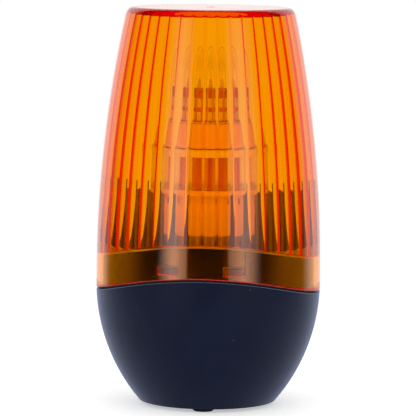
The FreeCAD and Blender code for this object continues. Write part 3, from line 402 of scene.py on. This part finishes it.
def greenSolderResist():
    s = resistSettings
    material, tree, place = startMaterial("green_solder_resist")
    tracks = addNode(tree, "ShaderNodeTexBrick", {
        "Vector": place, "Color1": (0, 0, 0, 1), "Color2": (0, 0, 0, 1), "Mortar": (1, 1, 1, 1),
        "Scale": 1.0, "Mortar Size": s["trackWidth"] * mm, "Brick Width": s["trackRun"] * mm,
        "Row Height": s["trackPitch"] * mm})
    weave = addNode(tree, "ShaderNodeTexNoise", {"Vector": place, "Scale": per(s["weave"]), "Detail": 3.0})
    ground = addNode(tree, "ShaderNodeMix", {
        0: weave.outputs["Fac"], 6: linearColour(s["low"]), 7: linearColour(s["high"])}, data_type="RGBA")
    colour = addNode(tree, "ShaderNodeMix", {
        0: tracks.outputs["Color"], 6: ground.outputs[2], 7: linearColour(s["track"])}, data_type="RGBA")
    rough = addNode(tree, "ShaderNodeMapRange", {
        "Value": weave.outputs["Fac"], "To Min": s["rough"][0], "To Max": s["rough"][1]})
    bump = addNode(tree, "ShaderNodeBump", {
        "Height": tracks.outputs["Color"], "Strength": 0.3, "Distance": 0.06 * mm})
    shell = addNode(tree, "ShaderNodeBsdfPrincipled", {
        "Base Color": colour.outputs[2], "Roughness": rough.outputs["Result"], "IOR": 1.55,
        "Normal": bump.outputs["Normal"]})
    addNode(tree, "ShaderNodeOutputMaterial", {"Surface": shell.outputs[0]})
    return material


# Board parts in two finishes: a dark moulded or sleeved body, and bare metal above or below a level
# that is given in mm over the board
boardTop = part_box("flasher_board")[1][2]
boardPartSettings = {
    "pvc_sleeved_can": {"body": "#0E1014", "metal": "#C4C6C8", "level": 15.5, "bare": "GREATER_THAN"},
    "epoxy_with_tab": {"body": "#101011", "metal": "#B4B7BA", "level": 12.2, "bare": "GREATER_THAN"},
    "epoxy_with_pins": {"body": "#0F0F10", "metal": "#BDBFC0", "level": 0.6, "bare": "LESS_THAN"},
}

boardPartGrain = {"size": 0.9, "light": "#2A2A2C", "rough": (0.3, 0.52)}    # mm, and what the grain gives


def boardPart(name):
    s = boardPartSettings[name]
    g = boardPartGrain
    material, tree, place = startMaterial(name)
    parts = addNode(tree, "ShaderNodeSeparateXYZ", {"Vector": place})
    bare = addNode(tree, "ShaderNodeMath", {
        0: parts.outputs["Z"], 1: boardTop + s["level"] * mm}, operation=s["bare"])
    grain = addNode(tree, "ShaderNodeTexNoise", {"Vector": place, "Scale": per(g["size"]), "Detail": 3.0})
    clouded = addNode(tree, "ShaderNodeMix", {
        0: grain.outputs["Fac"], 6: linearColour(s["body"]), 7: linearColour(g["light"])}, data_type="RGBA")
    colour = addNode(tree, "ShaderNodeMix", {
        0: bare.outputs[0], 6: clouded.outputs[2], 7: linearColour(s["metal"])}, data_type="RGBA")
    rough = addNode(tree, "ShaderNodeMapRange", {
        "Value": grain.outputs["Fac"], "To Min": g["rough"][0], "To Max": g["rough"][1]})
    bump = addNode(tree, "ShaderNodeBump", {
        "Height": grain.outputs["Fac"], "Strength": 0.1, "Distance": 0.08 * mm})
    shell = addNode(tree, "ShaderNodeBsdfPrincipled", {
        "Base Color": colour.outputs[2], "Metallic": bare.outputs[0], "Roughness": rough.outputs["Result"],
        "IOR": 1.5, "Normal": bump.outputs["Normal"]})
    addNode(tree, "ShaderNodeOutputMaterial", {"Surface": shell.outputs[0]})
    return material


# Yellow phosphor under clear silicone: waxy pale yellow, slightly uneven, with a soft gloss
phosphorSettings = {"low": "#FFE6A0", "high": "#FFF3CC", "grit": 0.6, "rough": (0.15, 0.3)}


def yellowPhosphor():
    s = phosphorSettings
    material, tree, place = startMaterial("yellow_phosphor")
    grit = addNode(tree, "ShaderNodeTexNoise", {"Vector": place, "Scale": per(s["grit"]), "Detail": 4.0})
    colour = addNode(tree, "ShaderNodeMix", {
        0: grit.outputs["Fac"], 6: linearColour(s["low"]), 7: linearColour(s["high"])}, data_type="RGBA")
    rough = addNode(tree, "ShaderNodeMapRange", {
        "Value": grit.outputs["Fac"], "To Min": s["rough"][0], "To Max": s["rough"][1]})
    shell = addNode(tree, "ShaderNodeBsdfPrincipled", {
        "Base Color": colour.outputs[2], "Roughness": rough.outputs["Result"], "IOR": 1.45})
    addNode(tree, "ShaderNodeOutputMaterial", {"Surface": shell.outputs[0]})
    return material


amber = amberAcrylic()
clear = clearPolycarbonate()
plastic = {name: mouldedPlastic(name) for name in mouldedSettings}
metal = {name: platedMetal(name) for name in metalSettings}
dress(amber, "lens")
dress(navyAbs(), "base_housing")
dress(plastic["black_rubber"], "rubber_feet", "cable_grommet")
dress(plastic["dark_silicone"], "lens_gasket")
dress(greenSolderResist(), "flasher_board")
dress(metal["zinc_plated_steel"], "board_screws", "post_screws", "terminal_screws")
dress(metal["nickel_plated_brass"], "terminal_cages", "lamp_cap")
dress(plastic["green_polyamide"], "terminal_block")
dress(boardPart("pvc_sleeved_can"), "smoothing_capacitor")
dress(boardPart("epoxy_with_tab"), "switching_transistor")
dress(boardPart("epoxy_with_pins"), "timer_chip")
dress(plastic["hollow_pbt"], "lamp_post")
dress(frostedPolycarbonate(), "holder_body")
dress(plastic["cream_pbt"], "holder_ring")
dress(metal["rolled_brass"], "holder_contact")
dress(metal["coppered_steel"], "holder_sleeve")
dress(plastic["red_wire_pvc"], "lamp_leads")
dress(metal["tin_solder"], "lamp_tip")
dress(plastic["black_bakelite"], "cap_insulator")
dress(plastic["apricot_pbt"], "lamp_collar")
dress(plastic["copper_clad_board"], "led_core", "led_top_board")
dress(yellowPhosphor(), "led_chips", "end_led")
dress(clear, "lamp_cover")
print("materials on", len(nodes), "nodes")


# Lens: barrel with an arched collar, hollow flutes inside, two snap teeth and a top with a thick outer ring
# Sizes are in mm and angles in degrees

lensSettings = {
    "radius": 47.5, "barrelStart": 55.0, "barrelCurve": 515.0, "wallRows": 24,
    "seamSide": 46.7, "seamRise": 9.0,                          # arch of the joint line
    "edgeLift": 1.05, "edgeRound": 0.3, "hold": 0.15,   # a row at hold keeps the wall's shading straight
    "collarWall": 2.4, "collarHeight": 15.0, "collarRows": (4.0, 7.0, 11.0, 15.0),
    "collarInnerRow": 10.0, "collarEase": 0.25,
    "flutes": 40, "stepsPerFlute": 12, "flutedWall": 2.9, "fluteDepth": 0.8, "fluteTop": 163.3,
    "top": 166.7, "topRound": 3.6, "topRoundSteps": 8, "shoulderLean": 12.0,
    "topRings": (31.0, 24.0, 16.0, 8.0, 4.0),
    "gateWell": ((2.0, 0.0), (1.7, 0.35), (0.9, 0.35), (0.7, 0.1)),  # radius, depth of the moulding mark
    "ringUnder": 163.4, "ringBore": 22.5, "ringLand": 4.0, "ringMiddle": 24.0,
    "plateUnder": 165.4, "plateRings": (13.0, 6.0, 3.0), "slip": 0.05,  # slip keeps two rings apart
    "toothLift": (2.3, 5.6), "toothColumns": (16, 31), "toothDepth": 1.2, "toothDraft": 0.45,
    "toothLevel": (45.0, 18.0),     # from here on a row follows the arch, after a blend of this width
    "sharpAngle": 28,
}


def archDrop(x):
    s = lensSettings
    curve = (s["radius"] ** 2 + s["seamRise"] ** 2) / (2 * s["seamRise"])
    return curve - math.sqrt(curve ** 2 - x ** 2)


def barrelRadius(depth, height):
    s = lensSettings
    if height <= s["barrelStart"]:
        return s["radius"] - depth
    reach = math.sqrt((s["barrelCurve"] - depth) ** 2 - (height - s["barrelStart"]) ** 2)
    return s["radius"] - s["barrelCurve"] + reach


def fluteRidge(column, radius):
    s = lensSettings
    half = s["stepsPerFlute"] / 2
    across = (column % s["stepsPerFlute"] - half) / half    # a ridge stands at the front
    halfPitch = radius * math.sin(math.pi / s["flutes"])
    lean = 2 * math.atan(s["fluteDepth"] / halfPitch)       # slope of the hollow at its ridges
    return s["fluteDepth"] * (1 - math.sqrt(1 - (across * math.sin(lean)) ** 2)) / (1 - math.cos(lean))


# A ring is moved to its row: rows on the collar follow the arch, rows above are spread up to the top
def placeRing(ring, row):
    s = lensSettings
    ledge = s["seamSide"] + s["seamRise"]
    levelTo, blend = [math.radians(angle) for angle in s["toothLevel"]]
    for column, vert in enumerate(ring):
        angle = 2 * math.pi * column / len(ring)
        depth = row["depth"]
        radius = barrelRadius(depth, s["barrelStart"])
        for attempt in range(2):    # radius and height depend on each other
            drop = archDrop(radius * math.sin(angle))
            if "level" in row:
                turn = min(angle, 2 * math.pi - angle)
                keep = min(max((levelTo - turn) / blend, 0), 1)     # teeth stay level in front
                height = ledge + row["level"] - drop * (1 - keep)
            elif "lift" in row:
                height = ledge + row["lift"] - drop
            else:
                low = ledge + s["collarHeight"] - drop
                height = low + row["share"] * (row["upTo"] - low)
            radius = row.get("radius", barrelRadius(depth, height))
        if row.get("fluted"):
            radius = barrelRadius(depth + fluteRidge(column, radius), height)
        vert.co = Vector((radius * math.sin(angle), -radius * math.cos(angle), height + footHeight)) * mm


def flatRing(radius, height):
    return {"depth": 0.0, "share": 1.0, "radius": radius, "upTo": height}


def growRings(bm, ring, rows):
    for row in rows:
        following = ring[1:] + ring[:1]
        loop = [next(e for e in v.link_edges if after in e.verts) for v, after in zip(ring, following)]
        made = bmesh.ops.extrude_edge_only(bm, edges=loop)["geom"]
        fresh = {v for v in made if isinstance(v, bmesh.types.BMVert)}
        ring = [next(e.other_vert(v) for e in v.link_edges if e.other_vert(v) in fresh) for v in ring]
        placeRing(ring, row)
    return ring


# Outside, from the lower edge up to the moulding mark in the middle of the top
def outerRows():
    s = lensSettings
    ease = 0.3 * s["edgeRound"]     # middle of the quarter round
    straight = s["edgeLift"] + s["edgeRound"]
    rows = [{"depth": ease, "lift": s["edgeLift"] + ease}]
    rows += [{"depth": 0.0, "lift": lift} for lift in (straight, straight + s["hold"]) + s["collarRows"]]
    shoulder = s["top"] - s["topRound"]
    rows += [{"depth": 0.0, "share": (step + 1) / s["wallRows"], "upTo": shoulder}
             for step in range(s["wallRows"])]
    rim = barrelRadius(0.0, shoulder)
    lean = math.radians(s["shoulderLean"])
    for step in range(1, s["topRoundSteps"] + 1):
        turn = lean + (math.pi / 2 - lean) * step / s["topRoundSteps"]
        inset = s["topRound"] * (math.cos(lean) - math.cos(turn))
        rise = s["topRound"] * (math.sin(turn) - math.sin(lean)) / (1 - math.sin(lean))
        rows.append(flatRing(rim - inset, shoulder + rise))
    rows += [flatRing(radius, s["top"]) for radius in s["topRings"]]
    rows += [flatRing(radius, s["top"] - sunk) for radius, sunk in s["gateWell"]]
    return rows


# Inside, from the lower edge past the tooth rows and up the flutes to the underside of the top
def innerRows():
    s = lensSettings
    wall = s["collarWall"]
    straight = s["edgeLift"] + s["edgeRound"]
    rows = [{"depth": wall - s["edgeRound"], "lift": s["edgeLift"]}]
    rows += [{"depth": wall, "lift": lift} for lift in (straight, straight + s["hold"])]
    rows += [{"depth": wall, "level": lift} for lift in s["toothLift"]]
    rows += [{"depth": wall, "lift": lift}
             for lift in (s["collarInnerRow"], s["collarHeight"] - s["collarEase"])]
    rows += [{"depth": wall + s["collarEase"], "share": 0.0, "upTo": s["fluteTop"]}]
    rows += [{"depth": s["flutedWall"], "share": step / s["wallRows"], "upTo": s["fluteTop"],
              "fluted": True} for step in range(s["wallRows"] + 1)]
    crest = barrelRadius(s["flutedWall"] + s["fluteDepth"] + s["slip"], s["ringUnder"])
    rows += [flatRing(radius, s["ringUnder"])
             for radius in (crest, crest - s["ringLand"], s["ringMiddle"], s["ringBore"])]
    rows += [flatRing(radius, s["plateUnder"]) for radius in (s["ringBore"] - s["slip"],) + s["plateRings"]]
    return rows


# A snap tooth is drawn inwards from the faces of the collar between the two tooth rows
def drawTooth(bm, side):
    s = lensSettings
    ledge = s["seamSide"] + s["seamRise"] + footHeight
    low, high = [(ledge + lift) * mm for lift in s["toothLift"]]
    columnStep = 2 * math.pi / (s["flutes"] * s["stepsPerFlute"])
    first, last = [column * columnStep for column in s["toothColumns"]]
    midWall = (s["radius"] - s["collarWall"] / 2) * mm
    chosen = []
    for face in bm.faces:
        middle = face.calc_center_median()
        angle = math.atan2(side * middle.x, -middle.y)
        if first < angle < last and low < middle.z < high and math.hypot(middle.x, middle.y) < midWall:
            chosen.append(face)
    drawn = bmesh.ops.extrude_face_region(bm, geom=chosen)["geom"]
    bmesh.ops.delete(bm, geom=chosen, context="FACES_ONLY")
    tip = [v for v in drawn if isinstance(v, bmesh.types.BMVert)]
    inwards = 1 - s["toothDepth"] / (s["radius"] - s["collarWall"])
    bmesh.ops.scale(bm, verts=tip, vec=(inwards, inwards, 1.0))
    facing = (Matrix.Translation((0, 0, -(low + high) / 2))
              @ Matrix.Rotation(-side * (first + last) / 2, 4, "Z"))
    width = (last - first) * s["radius"] * mm
    draft = 2 * s["toothDraft"] * mm
    bmesh.ops.scale(bm, verts=tip, vec=(1 - draft / width, 1.0, 1 - draft / (high - low)), space=facing)


def buildLens():
    s = lensSettings
    columns = s["flutes"] * s["stepsPerFlute"]
    bm = bmesh.new()
    bmesh.ops.create_circle(bm, cap_ends=False, segments=columns, radius=s["radius"] * mm)
    start = sorted(bm.verts, key=lambda v: math.atan2(v.co.x, -v.co.y) % (2 * math.pi))
    placeRing(start, {"depth": s["edgeRound"], "lift": s["edgeLift"]})
    for rows in (outerRows(), innerRows()):
        bmesh.ops.contextual_create(bm, geom=growRings(bm, start, rows))
    for side in (-1, 1):
        drawTooth(bm, side)
    lens = keepPiece("lens_shell", bm, amber, "lens", s["sharpAngle"])
    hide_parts("lens")
    print("lens built:", len(lens.data.vertices), "vertices")


buildLens()


# Lamp cover: a clear tube with a domed end, whose inside has fine rings that catch the light

coverSettings = {
    "radius": 12.9, "wall": 1.2, "low": 118.1, "middle": 128.0, "top": 150.4,   # mm
    "ringDepth": 0.1, "domeSteps": 18, "spinSteps": 96, "sharpAngle": 40,
}


def buildCover():
    s = coverSettings
    radius = s["radius"]
    bore = radius - s["wall"]
    steps = s["domeSteps"]
    domeStart = s["top"] - radius
    outline = [(radius, s["low"]), (radius, s["middle"]), (radius, domeStart)]
    for step in range(1, steps + 1):
        turn = math.pi / 2 * step / steps
        outline.append((radius * math.cos(turn), domeStart + radius * math.sin(turn)))
    outline.append((0.0, s["top"] - s["wall"]))
    for step in range(1, steps + 1):
        turn = math.pi / 2 * (steps - step) / steps
        reach = bore - s["ringDepth"] if step % 2 else bore
        outline.append((reach * math.cos(turn), domeStart + reach * math.sin(turn)))
    outline += [(bore, s["middle"]), (bore, s["low"])]
    bm = bmesh.new()
    verts = [bm.verts.new(Vector((r, 0, h + footHeight)) * mm) for r, h in outline]
    edges = [bm.edges.new(pair) for pair in zip(verts, verts[1:] + verts[:1])]
    bmesh.ops.spin(bm, geom=verts + edges, cent=(0, 0, 0), axis=(0, 0, 1), angle=2 * math.pi,
                   steps=s["spinSteps"], use_merge=True, use_duplicate=False)
    bmesh.ops.dissolve_degenerate(bm, edges=bm.edges, dist=0.0005 * mm)
    cover = keepPiece("lamp_dome", bm, clear, "lamp", s["sharpAngle"])
    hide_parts("lamp_cover")
    print("lamp cover built:", len(cover.data.vertices), "vertices")


buildCover()


# Floor, world, lamps and camera, in metres and degrees

stageSettings = {
    "floorRadius": 0.42, "fadeFrom": 0.12, "fadeTo": 0.4, "floorLift": 0.45,
    "paper": ("#ECECEB", "#F1F1F0"), "paperGrain": 4.0,     # mm
    "roomLight": 0.9,
    # how far back a direction points where the white starts and is full, and the light in front of it
    "backdrop": (0.42, 0.68, 0.01),
    "throughWall": (-0.5, 0.1, 0.05),   # the same, for rays that have been in the lens
    "softboxes": ({"azimuth": -37.0, "sharpEdge": 1, "width": 0.33, "radiance": 3.2},
                  {"azimuth": 37.5, "sharpEdge": -1, "width": 0.38, "radiance": 2.7}),
    "softboxDistance": 0.55, "softboxHeight": 0.46, "softboxLow": -0.03, "edgeSoft": (0.05, 0.6),
    "innerRise": (0.42, 0.3),   # share of the width where the light is full, share of it at the sharp edge
    "topFade": (0.2, 0.08),     # share of the height where a fade starts, and of the light left on top
    "bounces": 64, "clearBounces": 32,
}
cameraSettings = {
    "azimuth": 4.1, "distance": 1.3038, "height": 0.2201, "pitch": 5.996, "roll": 0.574, "turn": 0.0169,
    "focalPixels": 3090.3, "framePixels": 416,
}


# Pale paper: even and matte, lifted to white away from the object where the camera sees it
def buildFloor():
    s = stageSettings
    material, tree, place = startMaterial("pale_paper")
    grain = addNode(tree, "ShaderNodeTexNoise", {
        "Vector": place, "Scale": per(s["paperGrain"]), "Detail": 2.0})
    colour = addNode(tree, "ShaderNodeMix", {
        0: grain.outputs["Fac"], 6: linearColour(s["paper"][0]), 7: linearColour(s["paper"][1])},
        data_type="RGBA")
    paper = addNode(tree, "ShaderNodeBsdfPrincipled", {"Base Color": colour.outputs[2], "Roughness": 0.8})
    glow = addNode(tree, "ShaderNodeEmission", {"Color": (1, 1, 1, 1), "Strength": s["floorLift"]})
    lifted = addNode(tree, "ShaderNodeAddShader", {0: paper.outputs[0], 1: glow.outputs[0]})
    white = addNode(tree, "ShaderNodeEmission", {"Color": (1, 1, 1, 1), "Strength": 1.0})
    away = addNode(tree, "ShaderNodeVectorMath", {0: place}, operation="LENGTH")
    fade = addNode(tree, "ShaderNodeMapRange", {
        "Value": away.outputs["Value"], "From Min": s["fadeFrom"], "From Max": s["fadeTo"]},
        interpolation_type="SMOOTHSTEP")
    seen = addNode(tree, "ShaderNodeMixShader", {
        0: fade.outputs["Result"], 1: lifted.outputs[0], 2: white.outputs[0]})
    path = addNode(tree, "ShaderNodeLightPath")
    both = addNode(tree, "ShaderNodeMixShader", {
        0: path.outputs["Is Camera Ray"], 1: paper.outputs[0], 2: seen.outputs[0]})
    addNode(tree, "ShaderNodeOutputMaterial", {"Surface": both.outputs[0]})
    bm = bmesh.new()
    bmesh.ops.create_circle(bm, cap_ends=True, segments=96, radius=s["floorRadius"])
    mesh = bpy.data.meshes.new("floor")
    bm.to_mesh(mesh)
    bm.free()
    mesh.materials.append(material)
    floor = bpy.data.objects.new("floor", mesh)
    bpy.context.scene.collection.objects.link(floor)


# The room is white behind the object and dim in front, and plain white wherever the lens is only
# looked through
def buildWorld():
    s = stageSettings
    world = bpy.data.worlds.new("studio")
    bpy.context.scene.world = world
    world.cycles.sampling_method = "NONE"
    world.use_nodes = True
    tree = world.node_tree
    tree.nodes.clear()
    direction = addNode(tree, "ShaderNodeTexCoord").outputs["Generated"]
    back = addNode(tree, "ShaderNodeSeparateXYZ", {"Vector": direction}).outputs["Y"]
    path = addNode(tree, "ShaderNodeLightPath").outputs
    mirrored, scattered, inLens = [
        addNode(tree, "ShaderNodeMath", {0: path[depth], 1: 0.5}, operation="GREATER_THAN").outputs[0]
        for depth in ("Glossy Depth", "Diffuse Depth", "Transmission Depth")]
    backdrop, throughWall = [
        addNode(tree, "ShaderNodeMapRange", {
            "Value": back, "From Min": start, "From Max": end, "To Min": dim, "To Max": 1.0},
            interpolation_type="SMOOTHSTEP").outputs["Result"]
        for start, end, dim in (s["backdrop"], s["throughWall"])]
    reflected = addNode(tree, "ShaderNodeMix", {0: inLens, 2: backdrop, 3: throughWall}, data_type="FLOAT")
    turned = addNode(tree, "ShaderNodeMath", {0: mirrored, 1: scattered}, operation="MAXIMUM")
    seen = addNode(tree, "ShaderNodeMix", {
        0: turned.outputs[0], 2: 1.0, 3: reflected.outputs[0]}, data_type="FLOAT")
    level = addNode(tree, "ShaderNodeMix", {
        0: scattered, 2: seen.outputs[0], 3: s["roomLight"]}, data_type="FLOAT")
    light = addNode(tree, "ShaderNodeBackground", {"Color": (1, 1, 1, 1), "Strength": level.outputs[0]})
    addNode(tree, "ShaderNodeOutputWorld", {"Surface": light.outputs[0]})


# Each softbox is sharp at its inner side, fades out at the other and is brightest low down
def buildLamps():
    s = stageSettings
    for index, box in enumerate(s["softboxes"]):
        lamp = bpy.data.lights.new("softbox_%d" % index, "AREA")
        lamp.shape = "RECTANGLE"
        lamp.size = box["width"]
        lamp.size_y = s["softboxHeight"]
        lamp.energy = box["radiance"] * math.pi * box["width"] * s["softboxHeight"]
        lamp.use_nodes = True
        tree = lamp.node_tree
        tree.nodes.clear()
        spot = addNode(tree, "ShaderNodeNewGeometry").outputs["Parametric"]
        parts = addNode(tree, "ShaderNodeSeparateXYZ", {"Vector": spot}).outputs
        sharpLeft = box["sharpEdge"] < 0
        left, right = s["edgeSoft"] if sharpLeft else s["edgeSoft"][::-1]
        sharpAt = 0.0 if sharpLeft else 1.0
        fromLeft = addNode(tree, "ShaderNodeMapRange", {
            "Value": parts["X"], "From Min": 0.0, "From Max": left}, interpolation_type="SMOOTHSTEP")
        fromRight = addNode(tree, "ShaderNodeMapRange", {
            "Value": parts["X"], "From Min": 1.0, "From Max": 1.0 - right}, interpolation_type="SMOOTHSTEP")
        inwards = addNode(tree, "ShaderNodeMapRange", {
            "Value": parts["X"], "From Min": sharpAt, "From Max": abs(sharpAt - s["innerRise"][0]),
            "To Min": s["innerRise"][1], "To Max": 1.0})
        upwards = addNode(tree, "ShaderNodeMapRange", {
            "Value": parts["Y"], "From Min": s["topFade"][0], "From Max": 1.0,
            "To Min": 1.0, "To Max": s["topFade"][1]})
        level = fromLeft.outputs["Result"]
        for share in (fromRight, inwards, upwards):
            level = addNode(tree, "ShaderNodeMath", {
                0: level, 1: share.outputs["Result"]}, operation="MULTIPLY").outputs[0]
        glow = addNode(tree, "ShaderNodeEmission", {"Color": (1, 1, 1, 1), "Strength": level})
        addNode(tree, "ShaderNodeOutputLight", {"Surface": glow.outputs[0]})
        turn = math.radians(box["azimuth"] + cameraSettings["azimuth"])
        stand = Vector((math.sin(turn), -math.cos(turn), 0)) * s["softboxDistance"]
        stand.z = s["softboxLow"] + s["softboxHeight"] / 2
        holder = bpy.data.objects.new(lamp.name, lamp)
        holder.matrix_world = (Matrix.Translation(stand) @ Matrix.Rotation(turn, 4, "Z")
                               @ Matrix.Rotation(math.pi / 2, 4, "X"))
        holder.visible_camera = False
        bpy.context.scene.collection.objects.link(holder)


def buildCamera():
    s = cameraSettings
    optics = bpy.data.cameras.new("camera")
    optics.sensor_fit = "HORIZONTAL"
    optics.sensor_width = 36.0
    optics.lens = optics.sensor_width * s["focalPixels"] / s["framePixels"]
    optics.clip_end = 50.0
    turn = math.radians(s["azimuth"])
    stand = Vector((math.sin(turn), -math.cos(turn), 0)) * s["distance"]
    stand.z = s["height"]
    camera = bpy.data.objects.new("camera", optics)
    camera.matrix_world = (Matrix.Translation(stand)
                           @ Matrix.Rotation(turn + math.radians(s["turn"]), 4, "Z")
                           @ Matrix.Rotation(math.radians(90 - s["pitch"]), 4, "X")
                           @ Matrix.Rotation(math.radians(s["roll"]), 4, "Z"))
    bpy.context.scene.collection.objects.link(camera)
    bpy.context.scene.camera = camera


buildFloor()
buildWorld()
buildLamps()
buildCamera()
scene = bpy.context.scene
scene.view_settings.view_transform = "Standard"
scene.cycles.max_bounces = stageSettings["bounces"]
scene.cycles.transmission_bounces = stageSettings["bounces"]
scene.cycles.glossy_bounces = stageSettings["bounces"]
scene.cycles.transparent_max_bounces = stageSettings["clearBounces"]
print("stage, lamps and camera set")

bpy.context.view_layer.update()
